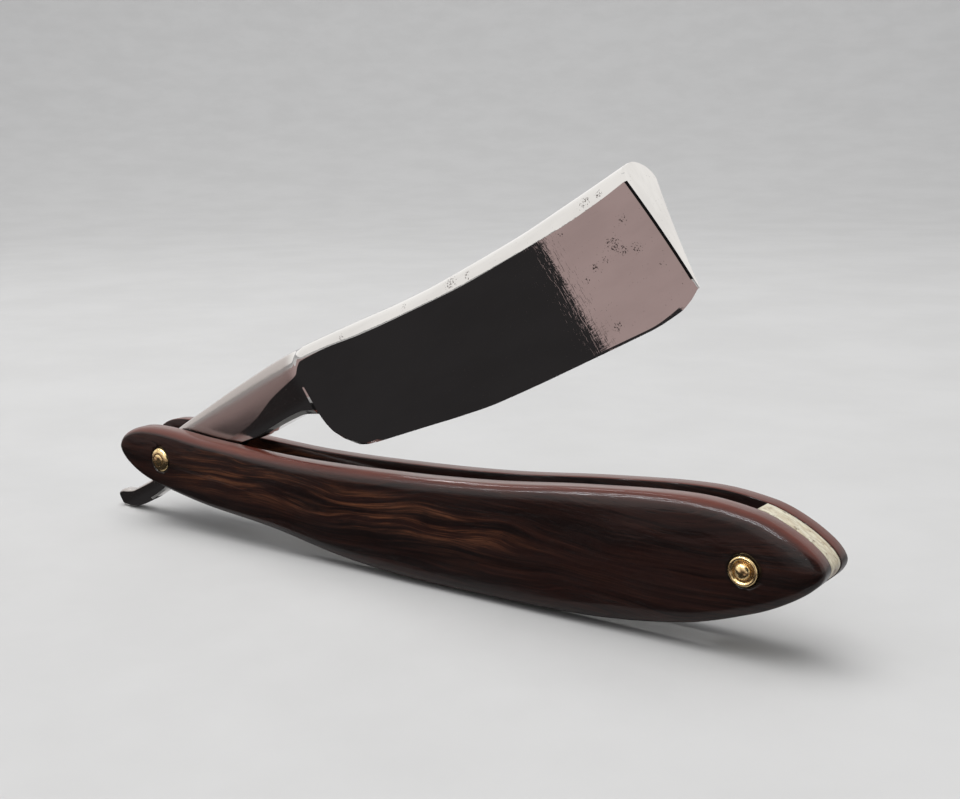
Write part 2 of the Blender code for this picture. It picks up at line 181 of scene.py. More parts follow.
BEVEL_SLOPE_CURVE = ((HEEL, 1.4), (48.0, 0.5), (54.0, 0.26), (100.0, 0.3), (TOE, 0.4))
HALF_WIDTH_CURVE = (
    (TAIL, 1.0), (-24.6, 1.4), (-22.0, 1.5), (-11.0, 1.6), (-3.5, 2.55), (20.0, 2.55),
    (31.0, 2.8), (37.0, 3.2), (41.0, 3.8), (44.5, 4.6), (TOE, 4.75),
)  # fmt: skip
LOWER_HALF_WIDTH_CURVE = (
    (TAIL, 0.9), (-22.0, 1.4), (-12.0, 1.5), (-3.5, 2.45), (14.0, 2.45), (28.0, 2.1), (HEEL, 2.05),
)  # fmt: skip
CROWN_POWER_CURVE = (
    (TAIL, 3.0), (-12.0, 3.5), (-2.0, 5.0), (18.0, 4.0), (41.0, 2.6), (56.0, 2.0), (TOE, 2.0),
)  # fmt: skip
CROWN_STEPS = 20
FACE_STEPS = 22
# The blade's stretches: from u, to u, and into how many steps
STATIONS = (
    (TAIL, -22.0, 24), (-22.0, -2.0, 40), (-2.0, 34.0, 60), (34.0, HEEL - HEEL_STEP, 20),
    (HEEL - HEEL_STEP, HEEL, 1), (HEEL, 44.3, 24), (44.3, 52.0, 30), (52.0, 112.0, 90),
    (112.0, TOE, 30),
)  # fmt: skip
SHOULDER_CREASE_START = 6.0

# Rosewood
WOOD_BANDS = ((0.0062, 0.0021, 0.0018), (0.020, 0.0062, 0.0045))
WOOD_THREAD = (0.042, 0.0125, 0.0075)
WOOD_FIGURE = ((0.05, 0.017, 0.0085), (0.15, 0.053, 0.022))
WOOD_PORE = (0.004, 0.0022, 0.002)
# Painted light: lighter, redder colours for the faces that turn upwards
WOOD_PAINTED_TOP_LIGHT = ((0.09, 0.013, 0.008), (0.21, 0.042, 0.021))
# Grime and painted shade: the dark ring round each collar
WOOD_GRIME_AND_SHADE = (0.004, 0.0025, 0.002)
# Where the wood's light figure shows: scale along and up, centre, inner and outer radius
FIGURE_PATCHES = (
    ((0.028, 0.19), (1.65, -0.45), 0.35, 1.1), ((0.04, 0.16), (0.9, -0.05), 0.3, 1.1),
)  # fmt: skip
REAR_SHIFT = 31.0

# Ivory
IVORY_LAYERS = ((0.50, 0.44, 0.31), (0.68, 0.64, 0.50))
IVORY_CLOUD = (0.42, 0.31, 0.17)
IVORY_MOTTLE = (0.36, 0.28, 0.16)
IVORY_SPECK = (0.12, 0.075, 0.04)
IVORY_EDGE = (0.2, 0.13, 0.07)
IVORY_STAIN = (0.16, 0.09, 0.045)
STAIN_PLACE = (138.6, 0.0, -0.2)

# Brass
BRASS_TONES = ((0.80, 0.60, 0.31), (0.56, 0.37, 0.18))
BRASS_SCRATCH = (0.95, 0.84, 0.58)

# Steel
STEEL_TONES = ((0.67, 0.655, 0.64), (0.61, 0.595, 0.58))
STEEL_SHANK = (0.40, 0.365, 0.35)
STEEL_PIT = (0.05, 0.036, 0.032)
# Polishing strokes: scale of the noise and its turn
STROKES = (((0.55, 1.0, 3.2), 0.5), ((0.45, 1.0, 3.8), -0.35), ((3.0, 1.0, 0.5), 0.2))
# Rust pits: (u, v) and radius of each cluster
PIT_CLUSTERS = (
    ((113.5, -5.6), 2.6), ((114.5, -6.7), 1.8), ((111.1, -6.9), 1.2), ((106.6, -0.4), 1.1),
    ((103.2, -0.3), 0.9), ((108.7, -7.1), 1.2), ((106.4, -8.3), 1.0), ((116.9, -3.0), 1.3),
    ((116.6, -7.6), 1.5), ((118.9, -11.4), 0.9), ((107.2, -16.6), 1.5), ((83.0, 1.8), 2.4),
    ((87.0, 1.5), 1.3), ((72.0, 2.4), 1.0), ((56.1, 3.2), 1.1), ((112.5, 2.0), 1.8),
    ((115.4, 2.0), 1.2),
)  # fmt: skip

# Camera, in metres and degrees
CAMERA_PLACE = (0.13779, -0.17235, 0.07565)
CAMERA_AZIMUTH = 37.02
CAMERA_ELEVATION = 11.29
CAMERA_ROLL = -1.173
CAMERA_LENS = 48.75
CAMERA_CLIP = (0.01, 10.0)

# Stage, in metres and degrees, but for the cards' corners, which are in millimetres
PAPER_TONES = ((0.55, 0.545, 0.535), (0.58, 0.575, 0.565))
FLOOR_RADII = (0.02, 0.2, 0.9)
FLOOR_CURVE = 2.0
FLOOR_RINGS = 40
FLOOR_SIDES = 96
WORLD_COLOUR = (0.93, 0.95, 1.0, 1.0)
WORLD_STRENGTH = 0.55
# Name, place, target, size and power
AREA_LIGHTS = (
    ("overhead", (-0.05, -0.1, 0.9), (0.0, 0.0, 0.02), (1.1, 0.8), 8.5),
    ("left_panel", (-0.95, -0.85, 0.33), (0.0, 0.0, 0.05), (1.0, 0.55), 1.8),
    ("backdrop_light", (-0.6, 0.8, 1.5), (-1.7, 2.1, 0.5), (1.6, 1.0), 11.0),
)
SKY_RADIUS = 1.5
SKY_ELEVATIONS = (2.0, 88.0)
SKY_GRID = (72, 12)
SKY_COLOUR = (1.0, 0.99, 0.97)
SKY_STRENGTH = 1.15
# Name, azimuth, elevation, size, colour and strength
FACING_CARDS = (
    ("stage_camera_flag", 48.0, 22.0, (0.55, 0.5), (0.01, 0.01, 0.01), 1.0),
    ("stage_strip_low", -18.0, 40.0, (0.75, 0.022), (0.9, 0.96, 1.0), 45.0),
    ("stage_strip_high", -18.0, 49.0, (0.75, 0.03), (0.9, 0.96, 1.0), 30.0),
)
FACING_CARD_DISTANCE = 0.8
# The polished blade mirrors these: dark over most of its length and grey near the toe
DARK_CARD = (
    (150.0, -12.0), (150.0, -66.0), (16.0, -66.0), (11.0, -56.0), (-10.0, -87.0), (-16.0, -97.0),
    (-30.0, -128.0), (-105.0, -128.0), (-150.0, -60.0), (-150.0, 14.0), (-84.0, 14.0), (-78.0, -12.0),
)  # fmt: skip
DARK_CARD_COLOUR = (0.031, 0.029, 0.030)
DARK_CARD_LIFT = 0.0005
GREY_CARD = ((260.0, -12.0), (260.0, -330.0), (-430.0, -330.0), (-430.0, -20.0), (-84.0, -12.0))
GREY_CARD_COLOUR = (0.47, 0.355, 0.345)
GREY_CARD_LIFT = 0.0003


# Curves and outlines


def through(points):
    """A function y(x) whose smooth curve runs through points sorted by x without overshooting."""
    xs, ys = zip(*points)
    slopes = [(y1 - y0) / (x1 - x0) for (x0, y0), (x1, y1) in zip(points, points[1:])]
    tangents = [slopes[0]]
    for before, after in zip(slopes, slopes[1:]):
        same_way = before * after > 0
        tangents.append(2 * before * after / (before + after) if same_way else 0.0)
    tangents.append(slopes[-1])

    def curve(x):
        x = min(max(x, xs[0]), xs[-1])
        i = next(k for k in range(len(slopes)) if x <= xs[k + 1])
        width = xs[i + 1] - xs[i]
        t = (x - xs[i]) / width
        rise = ys[i + 1] - ys[i]
        left, right = width * tangents[i], width * tangents[i + 1]
        return ys[i] + t * (left + t * (3 * rise - 2 * left - right + t * (left + right - 2 * rise)))

    return curve


rounding = through(ROUNDING_CURVE)
rounding_depth = through(ROUNDING_DEPTH_CURVE)
middle_height = through(MIDDLE_LINE)
nose_weight = through(NOSE_WEIGHT_CURVE)
lean = through(LEAN_CURVE)
spine = through(SPINE_CURVE)
shoulder = through(SHOULDER_CURVE)
lower = through(LOWER_CURVE)
cutting_edge = through(EDGE_CURVE)
grind_line = through(GRIND_CURVE)
bevel_slope = through(BEVEL_SLOPE_CURVE)
half_width = through(HALF_WIDTH_CURVE)
lower_half_width = through(LOWER_HALF_WIDTH_CURVE)
crown_power = through(CROWN_POWER_CURVE)


def closed_spline(points, steps):
    """A closed Catmull-Rom curve through the points, as a list of (x, z)."""
    made = []
    count = len(points)
    for i in range(count):
        p0, p1, p2, p3 = (Vector(points[(i + k) % count]) for k in (-1, 0, 1, 2))
        reach = (p2 - p1).length
        m1 = (p2 - p0) * reach / ((p1 - p0).length + reach)
        m2 = (p3 - p1) * reach / ((p3 - p2).length + reach)
        for k in range(steps):
            t = k / steps
            made.append(
                p1 * (2 * t**3 - 3 * t**2 + 1)
                + p2 * (3 * t**2 - 2 * t**3)
                + m1 * (t**3 - 2 * t**2 + t)
                + m2 * (t**3 - t**2)
            )
    return made


def radius_at(outline, i, reach):
    """The radius of the circle through a point of a closed outline and two at some reach."""
    count = len(outline)
    before, here, after = outline[i - reach], outline[i], outline[(i + reach) % count]
    doubled_area = abs((here - before).cross(after - before))
    sides = (here - before).length * (after - here).length * (after - before).length
    return sides / (2 * doubled_area + 1e-9)


def inset(outline, amount_at, reach=OUTLINE_REACH):
    """The closed clockwise outline moved inwards by amount_at(x) along each point's normal."""
    made = []
    count = len(outline)
    radii = [radius_at(outline, i, reach) for i in range(count)]
    window = range(-2 * reach, 2 * reach + 1)
    for i, point in enumerate(outline):
        along = (outline[(i + 1) % count] - outline[i - 1]).normalized()
        tightest = min(radii[(i + k) % count] for k in window)
        distance = min(amount_at(point.x), TIGHTEST_INSET * tightest)
        made.append(point + Vector((along.y, -along.x)) * distance)
    return made


def drawn_in(outline, share):
    """The outline moved inwards by a share of its rounding, which widens towards the butt."""
    made = []
    for point, moved in zip(outline, inset(outline, lambda x: share * rounding(x))):
        nose = point.lerp(NOSE_CENTRE, NOSE_SHARE * share)
        made.append(moved.lerp(nose, nose_weight(point.x)))
    return made


def half_gap(x):
    """Half the slot between the scales, x from the pivot."""
    return (GAP_AT_PIVOT + (GAP_AT_WEDGE - GAP_AT_PIVOT) * x / PIN_SPACING) / 2


def scale_turn(side):
    """The angle of a scale about Z, for side -1 at the front and 1 at the back."""
    return side * math.atan((GAP_AT_WEDGE - GAP_AT_PIVOT) / 2 / PIN_SPACING)


# Meshes


def mesh_object(name, bm, finish, sharp_degrees=30.0, creases=()):
    """An object from a bmesh in millimetres, smooth but for its creases and its sharp angles."""
    bmesh.ops.recalc_face_normals(bm, faces=bm.faces)
    if bm.calc_volume(signed=True) < 0:
        bmesh.ops.reverse_faces(bm, faces=bm.faces)
    bmesh.ops.scale(bm, vec=Vector((MM,) * 3), verts=bm.verts)
    limit = math.radians(sharp_degrees)
    for face in bm.faces:
        face.smooth = True
    for edge in bm.edges:
        edge.smooth = edge.calc_face_angle(0.0) < limit
    for edge in creases:
        edge.smooth = False
    mesh = bpy.data.meshes.new(name)
    bm.to_mesh(mesh)
    bm.free()
    made = bpy.data.objects.new(name, mesh)
    made.data.materials.append(finish)
    bpy.context.scene.collection.objects.link(made)
    return made


def skin(bm, rings):
    """Quads between rings of points, and the rows of their vertices."""
    rows = [[bm.verts.new(point) for point in ring] for ring in rings]
    for low, high in zip(rows, rows[1:]):
        for i in range(len(low)):
            bm.faces.new((low[i - 1], low[i], high[i], high[i - 1]))
    return rows


def loft(name, rings, finish, crease_tests=None, sharp_degrees=30.0):
    """A closed body through rings, capped at both ends. The tests say which edges are creases:
    those from ring k to the next at point i, and those along ring k at point i."""
    bm = bmesh.new()
    rows = skin(bm, rings)
    bm.faces.new(rows[0])
    bm.faces.new(rows[-1])
    creases = []
    if crease_tests:
        along, around = crease_tests
        count = len(rows[0])
        places = [(k, i) for k in range(len(rows)) for i in range(count)]
        creases += [bm.edges.get((rows[k][i - 1], rows[k][i])) for k, i in places if around(k, i)]
        places = [(k, i) for k, i in places if k + 1 < len(rows)]
        creases += [bm.edges.get((rows[k][i], rows[k + 1][i])) for k, i in places if along(k, i)]
    return mesh_object(name, bm, finish, sharp_degrees, creases)


def turned(name, profile, finish, ring=False, wobble=0.0):
    """A round body about Y from (radius, y) points: closed by end faces, or a ring round a hole."""
    bm = bmesh.new()
    angles = [2 * math.pi * k / ROUND_SIDES for k in range(ROUND_SIDES)]
    circles = [[(r * math.cos(a), y, r * math.sin(a)) for a in angles] for r, y in profile]
    if ring:
        circles.append(circles[0])
    rows = skin(bm, circles)
    if ring:
        bmesh.ops.remove_doubles(bm, verts=bm.verts, dist=1e-5)
    else:
        bm.faces.new(rows[0])
        bm.faces.new(rows[-1])
    if wobble:
        for vert in bm.verts:
            vert.co.y *= 1 + wobble * noise.noise(vert.co * PEENING_SCALE)
    return mesh_object(name, bm, finish)


def rod_profile(radius, half_length):
    """The profile of a plain rod about the origin."""
    return [(radius, -half_length), (radius, half_length)]


def put(thing, place, turn_y=0.0, turn_z=0.0):
    """Moves an object's mesh to a place in millimetres, with turns in radians."""
    turn = Euler((0.0, turn_y, turn_z)).to_matrix().to_4x4()
    thing.data.transform(Matrix.Translation(Vector(place) * MM) @ turn)
    return thing


def drill(target, cutters):
    """Cuts the round cutters from the target one after the other, and removes them."""
    for cutter in cutters:
        modifier = target.modifiers.new("drill", "BOOLEAN")
        modifier.operation = "DIFFERENCE"
        modifier.solver = "EXACT"
        modifier.object = cutter
        bpy.context.view_layer.update()
        evaluated = target.evaluated_get(bpy.context.evaluated_depsgraph_get())
        drilled = bpy.data.meshes.new_from_object(evaluated)
        target.modifiers.clear()
        target.data = drilled
        bpy.data.objects.remove(cutter)


def finish_piece(piece, body, slot, *nodes):
    """Attaches a piece to the body it rides on and hides the CAD nodes it stands for. Its slot is not
    used.
    """
    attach(piece, body)
    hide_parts(*nodes)
    return piece


# Handle


def outer_point(x, side, lift):
    """The point over a pin's middle, lifted off the scale's outer face."""
    return PIVOT + Vector((x, side * (half_gap(x) + SCALE_THICKNESS + lift), 0.0))


def towards_middle(points, share):
    """The outline's points moved part of the way to the middle line of the scale."""
    xs = [p.x for p in points]
    low, high = min(xs) + MIDDLE_SETBACK, max(xs) - MIDDLE_SETBACK
    made = []
    for p in points:
        x = min(max(p.x, low), high)
        made.append(p.lerp(Vector((x, middle_height(x))), share))
    return made


def make_scale(label, side, finish):
    """A scale with a flat inner face, a softly rounded edge and a slightly crowned outer face."""
    outline = closed_spline(SCALE_OUTLINE, OUTLINE_STEPS)
    rings = []

    def add_ring(points, deep_at):
        rings.append([(p.x, side * deep_at(p.x), p.y) for p in points])

    for k in range(INNER_BREAK_STEPS + 1):
        angle = math.pi / 2 * k / INNER_BREAK_STEPS
        amount, deep = INNER_BREAK * (1 - math.sin(angle)), INNER_BREAK * (1 - math.cos(angle))
        add_ring(inset(outline, lambda x: amount), lambda x: deep)
    for k in range(ROUNDING_STEPS + 1):
        angle = math.pi / 2 * k / ROUNDING_STEPS
        below = 1 - math.sin(angle)
        inner = drawn_in(outline, 1 - math.cos(angle))
        add_ring(inner, lambda x: SCALE_THICKNESS - rounding_depth(x) * below)
    for k in range(1, FACE_RINGS + 1):
        share = FACE_REACH * k / FACE_RINGS
        rise = FACE_CROWN * (1 - (1 - share) ** 2)
        add_ring(towards_middle(inner, share), lambda x: SCALE_THICKNESS + rise)
    scale = loft(f"{label}_scale_rosewood", rings, finish)
    put(scale, PIVOT + Vector((0.0, side * half_gap(0.0), 0.0)), turn_z=scale_turn(side))
    cutters = []
    for x, radius in ((0.0, PIVOT_COLLAR_RADIUS), (PIN_SPACING, WEDGE_COLLAR_RADIUS)):
        steps = ((HOLE_RADIUS, -SCALE_THICKNESS - DRILL_PAST), (HOLE_RADIUS, -SEAT_DEPTH))
        steps += ((radius + SEAT_MARGIN, -SEAT_DEPTH), (radius + SEAT_MARGIN, DRILL_PAST))
        cutter = turned("seat", [(r, side * y) for r, y in steps], finish)
        cutters.append(put(cutter, outer_point(x, side, 0.0), turn_z=scale_turn(side)))
    drill(scale, cutters)
    return finish_piece(scale, "scales", "scale_wood", f"{label}_scale")


def make_wedge(finish):
    """The spacer between the scales at the butt, with its edges just broken."""
    outline = inset(closed_spline(SCALE_OUTLINE, OUTLINE_STEPS), lambda x: WEDGE_INSET)

    def beyond(p):
        return p.x - WEDGE_MIDDLE_X - WEDGE_SLANT * p.y

    kept = []
    for i, point in enumerate(outline):
        before = outline[i - 1]
        if (beyond(before) > 0) != (beyond(point) > 0):
            share = beyond(before) / (beyond(before) - beyond(point))
            kept.append(before.lerp(point, share))
        if beyond(point) > 0:
            kept.append(point)
    broken = inset(kept, lambda x: WEDGE_BREAK, reach=1)

    def ring(points, side, margin):
        return [(p.x, side * (half_gap(p.x) - WEDGE_SIDE_GAP - margin), p.y) for p in points]

    rings = [ring(broken, -1, 0.0), ring(kept, -1, WEDGE_BREAK)]
    rings += [ring(kept, 1, WEDGE_BREAK), ring(broken, 1, 0.0)]
    wedge = put(loft("wedge_ivory", rings, finish), PIVOT)
    hole = turned("hole", rod_profile(HOLE_RADIUS, GAP_AT_PIVOT), finish)
    drill(wedge, [put(hole, PIVOT + Vector((PIN_SPACING, 0.0, 0.0)))])
    return finish_piece(wedge, "scales", "ivory", "wedge")


# Pins, collars and washers


def both_ends(dome):
    """A rod's profile from the profile of its one end."""
    return [(radius, -y) for radius, y in reversed(dome)] + dome


def make_pivot_pin(finish):
    """A rod whose ends are peened to low domes in the middle of their collars."""
    top = half_gap(0.0) + SCALE_THICKNESS - SEAT_DEPTH + FIT_GAP + PIVOT_COLLAR_HEIGHT
    dome = []
    for k in range(PIN_DOME_STEPS):
        angle = math.pi / 2 * k / PIN_DOME_STEPS
        dome.append((PIN_RADIUS * math.cos(angle), top + PIN_DOME * math.sin(angle)))
    pin = put(turned("pivot_pin_brass", both_ends(dome), finish, wobble=0.006), PIVOT)
    return finish_piece(pin, "scales", "brass", "pivot_pin")


def make_wedge_pin(finish):
    """A rod whose ends are peened to round heads that sit in their cups."""
    floor = half_gap(PIN_SPACING) + SCALE_THICKNESS - SEAT_DEPTH + 2 * FIT_GAP + CUP_FLOOR
    rim = floor + HEAD_BREAK
    dome = [(PIN_RADIUS, floor), (HEAD_RADIUS - HEAD_BREAK, floor), (HEAD_RADIUS, rim)]
    for k in range(1, HEAD_STEPS):
        angle = math.pi / 2 * k / HEAD_STEPS
        height = (HEAD_HEIGHT - HEAD_BREAK) * math.sin(angle)
        dome.append((HEAD_RADIUS * math.cos(angle), rim + height))
    pin = turned("wedge_pin_brass", both_ends(dome), finish, wobble=0.01)
    put(pin, PIVOT + Vector((PIN_SPACING, 0.0, 0.0)))
    return finish_piece(pin, "scales", "brass", "wedge_pin")


def make_collar(label, place, x, side, profile, finish):
    """A collar in its seat at x, from its (radius, height) profile."""
    name = f"{place}_collar_{label}_brass"
    collar = turned(name, [(r, side * y) for r, y in profile], finish, ring=True)
    put(collar, outer_point(x, side, FIT_GAP - SEAT_DEPTH), turn_z=scale_turn(side))
    return finish_piece(collar, "scales", "brass", f"{place}_collar_{label}")


def make_pivot_collar(label, side, finish):
    """A domed ring, flush with the pin's end."""
    outer = PIVOT_COLLAR_RADIUS
    profile = [(HOLE_RADIUS, 0.0), (outer - COLLAR_BREAK, 0.0), (outer, COLLAR_BREAK)]
    for k in range(COLLAR_STEPS):
        share = k / (COLLAR_STEPS - 1)
        rise = PIVOT_COLLAR_RIM + (1 - PIVOT_COLLAR_RIM) * math.sin(math.pi / 2 * share**0.7)
        profile.append((outer + (HOLE_RADIUS - outer) * share, PIVOT_COLLAR_HEIGHT * rise))
    return make_collar(label, "pivot", 0.0, side, profile, finish)


def make_wedge_collar(label, side, finish):
    """A cupped ring: a raised rim round a hollow in which the pin's head sits."""
    outer, inner = WEDGE_COLLAR_RADIUS, CUP_RADIUS
    profile = [(HOLE_RADIUS, 0.0), (outer - COLLAR_BREAK, 0.0), (outer, COLLAR_BREAK)]
    profile.append((outer, CUP_FLOOR))
    for k in range(1, COLLAR_STEPS + 1):
        share = k / (COLLAR_STEPS + 1)
        rise = (WEDGE_COLLAR_HEIGHT - CUP_FLOOR) * math.sin(math.pi * share**0.75) ** 0.8
        profile.append((outer + (inner - outer) * share, CUP_FLOOR + rise))
    profile += [(inner, CUP_FLOOR), (HOLE_RADIUS, CUP_FLOOR)]
    return make_collar(label, "wedge", PIN_SPACING, side, profile, finish)


def make_washer(label, side, finish):
    """A flat ring between the tang and the scale, with its rims broken."""
    low = half_width(0.0) + FIT_GAP * 2
    high = low + WASHER_THICKNESS
    rim, bore, broken = WASHER_RADIUS, HOLE_RADIUS, WASHER_BREAK
    profile = [(bore, low), (rim - broken, low), (rim, low + broken), (rim, high - broken)]
    profile += [(rim - broken, high), (bore, high)]
    name = f"pivot_washer_{label}_brass"
    washer = turned(name, [(r, side * y) for r, y in profile], finish, ring=True)
    put(washer, PIVOT)
    return finish_piece(washer, "scales", "brass", f"pivot_washer_{label}")


# Blade


def ground_half_thickness(u, v):
    """Half the blade's thickness on its ground face, a wedge with a slight hollow."""
    height = (v - grind_line(u)) / (shoulder(u) - grind_line(u))
    full = half_width(u) - GRIND_AT_EDGE / 2
    return GRIND_AT_EDGE / 2 + full * height * (1 - HOLLOW * (1 - height))


def bevel_top(u):
    """Where the cutting bevel meets the ground face."""
    edge, slope = cutting_edge(u), bevel_slope(u)
    low, high = edge, shoulder(u)
    for _ in range(30):
        middle = (low + high) / 2
        if EDGE_THICKNESS / 2 + slope * (middle - edge) < ground_half_thickness(u, middle):
            low = middle
        else:
            high = middle
    return high


def crown(u):
    """The rounded upper part of a section, from the spine down to the shoulder, as (v, half)."""
    power = 2 / crown_power(u)
    points = []
    for k in range(CROWN_STEPS + 1):
        angle = math.pi / 2 * k / CROWN_STEPS
        rise = (spine(u) - shoulder(u)) * math.cos(angle) ** power if k < CROWN_STEPS else 0.0
        points.append((shoulder(u) + rise, half_width(u) * math.sin(angle) ** power))
    return points


def blade_face(u):
    """The ground face and the bevel of a section, from the shoulder down to the edge."""
    top = bevel_top(u)
    points = []
    for k in range(1, FACE_STEPS + 1):
        v = shoulder(u) + (top - shoulder(u)) * k / FACE_STEPS
        points.append((v, ground_half_thickness(u, v)))
    return points + [(cutting_edge(u), EDGE_THICKNESS / 2)]


def shank_face(u):
    """The lower side of the tail, tang or shank, which curves in to a rounded lower edge."""
    bottom, high, low = lower(u), half_width(u), lower_half_width(u)
    depth = shoulder(u) - bottom
    points = []
    for k in range(1, FACE_STEPS + 1):
        height = 1 - (1 - SHANK_BOTTOM) * k / FACE_STEPS
        points.append((bottom + depth * height, low + (high - low) * height**SHANK_POWER))
    return points + [(bottom, low * SHANK_BOTTOM_WIDTH)]


def section(u, chamfer=0.0):
    """A closed ring of the blade at one station, or past it and thinned by the same chamfer."""
    right = crown(u) + (blade_face(u) if u >= HEEL else shank_face(u))
    if chamfer:
        right = [(v, max(half - chamfer, EDGE_THICKNESS / 2) if half else 0.0) for v, half in right]
    left = [(v, -half) for v, half in reversed(right[1:])]
    return [(u + chamfer - lean(u) * v, half, v) for v, half in right + left]


def make_blade(finish):
    """The blade from tail to toe, with creases at its shoulder, bevel, heel step and toe."""
    stations = [a + (b - a) * k / count for a, b, count in STATIONS for k in range(count)]
    chamfers = (0.0, CORNER_BREAK, TOE_CHAMFER - CORNER_BREAK, TOE_CHAMFER)
    rings = [section(u) for u in stations] + [section(TOE, chamfer) for chamfer in chamfers]
    starts = stations + [TOE] * len(chamfers)
    corner, bevel, edge = CROWN_STEPS, CROWN_STEPS + FACE_STEPS, CROWN_STEPS + FACE_STEPS + 1
    last = 2 * edge + 1

    def is_crease(k, i):
        column = min(i, last - i)
        if column == corner:
            return starts[k] > SHOULDER_CREASE_START
        return starts[k] >= HEEL and column in (bevel, edge)

    def is_ring_crease(k, i):
        column = min(i, last - i)
        heel_step = starts[k] in (HEEL - HEEL_STEP, HEEL) and column >= corner
        return heel_step or k in (len(stations), len(starts) - 1)

    blade = loft("blade_steel", rings, finish, (is_crease, is_ring_crease), sharp_degrees=24.0)
    put(blade, PIVOT, turn_y=-math.radians(BLADE_ANGLE))
    drill(blade, [put(turned("hole", rod_profile(HOLE_RADIUS, GAP_AT_PIVOT), finish), PIVOT)])
    return finish_piece(blade, "blade", "blade_steel", "blade")


# Materials


class Shading:
    """One material's node tree. Its coordinates are a piece's own, in millimetres."""

    def __init__(self, name, turn_y=0.0, turn_z=0.0):
        self.material = bpy.data.materials.new(name)
        self.material.use_nodes = True
        self.tree = self.material.node_tree
        self.shader = self.tree.nodes["Principled BSDF"]
        where = self.tree.nodes.new("ShaderNodeMapping")
        where.vector_type = "TEXTURE"
        where.inputs["Location"].default_value = PIVOT * MM
        where.inputs["Rotation"].default_value = (0.0, turn_y, turn_z)
        where.inputs["Scale"].default_value = (MM, MM, MM)
        source = self.tree.nodes.new("ShaderNodeTexCoord")
        self.tree.links.new(source.outputs["Object"], where.inputs["Vector"])
        self.place = where.outputs[0]
        self.facing = source.outputs["Normal"]

    def set(self, target, value):
        """Links a socket to an input, or writes a number or a vector into it."""
        if isinstance(value, bpy.types.NodeSocket):
            self.tree.links.new(value, target)
        else:
            target.default_value = value

    def finish(self, **inputs):
        """Sets the shader's inputs, named with underscores for spaces."""
        for name, value in inputs.items():
            self.set(self.shader.inputs[name.replace("_", " ")], value)
        return self.material

    def vector(self, operation, a, b):
        """Two vectors added, or the distance between them."""
        node = self.tree.nodes.new("ShaderNodeVectorMath")
        node.operation = operation
        self.set(node.inputs[0], a)
        self.set(node.inputs[1], b)
        return node.outputs["Value" if operation == "DISTANCE" else "Vector"]

    def math(self, operation, a, b=0.0, clamp=False):
        """One step of arithmetic on numbers or sockets."""
        node = self.tree.nodes.new("ShaderNodeMath")
        node.operation = operation
        node.use_clamp = clamp
        self.set(node.inputs[0], a)
        self.set(node.inputs[1], b)
        return node.outputs[0]

    def axis(self, index, vector=None):
        """One component of a vector, or of the place on the piece."""
        node = self.tree.nodes.new("ShaderNodeSeparateXYZ")
        self.set(node.inputs[0], self.place if vector is None else vector)
        return node.outputs[index]

    def combine(self, x, y, z):
        """A vector from its components."""
        node = self.tree.nodes.new("ShaderNodeCombineXYZ")
        for target, value in zip(node.inputs, (x, y, z)):
            self.set(target, value)
        return node.outputs[0]

    def stretched(self, scale, shift=(0.0, 0.0, 0.0), turn=0.0, vector=None):
        """The place on the piece, or another vector, scaled, turned about Y and shifted."""
        node = self.tree.nodes.new("ShaderNodeMapping")
        self.set(node.inputs["Vector"], self.place if vector is None else vector)
        node.inputs["Location"].default_value = shift
        node.inputs["Rotation"].default_value = (0.0, turn, 0.0)
        node.inputs["Scale"].default_value = scale
        return node.outputs[0]

    def noise(self, vector, scale=1.0, detail=3.0, roughness=0.5):
        """Soft noise from 0 to 1 over a vector."""
        node = self.tree.nodes.new("ShaderNodeTexNoise")
        self.set(node.inputs["Vector"], vector)
        node.inputs["Scale"].default_value = scale
        node.inputs["Detail"].default_value = detail
        node.inputs["Roughness"].default_value = roughness
        return node.outputs["Fac"]

    def fade(self, value, low, high, start=0.0, end=1.0):
        """A smooth change from start to end as value goes from low to high."""
        node = self.tree.nodes.new("ShaderNodeMapRange")
        node.interpolation_type = "SMOOTHSTEP"
        self.set(node.inputs["Value"], value)
        for name, number in (("From Min", low), ("From Max", high), ("To Min", start), ("To Max", end)):
            node.inputs[name].default_value = number
        return node.outputs[0]

    def mix(self, factor, a, b, blend="MIX"):
        """Two colours mixed. A colour is a socket or three numbers."""
        node = self.tree.nodes.new("ShaderNodeMix")
        node.data_type = "RGBA"
        node.blend_type = blend
        self.set(node.inputs[0], factor)
        for target, colour in ((node.inputs[6], a), (node.inputs[7], b)):
            self.set(target, (*colour, 1.0) if isinstance(colour, tuple) else colour)
        return node.outputs[2]

    def bump(self, height, distance, under=None):
        """A bump whose distance is in millimetres."""
        node = self.tree.nodes.new("ShaderNodeBump")
        node.inputs["Strength"].default_value = 1.0
        node.inputs["Distance"].default_value = distance * MM
        self.set(node.inputs["Height"], height)
        if under is not None:
            self.set(node.inputs["Normal"], under)
        return node.outputs[0]


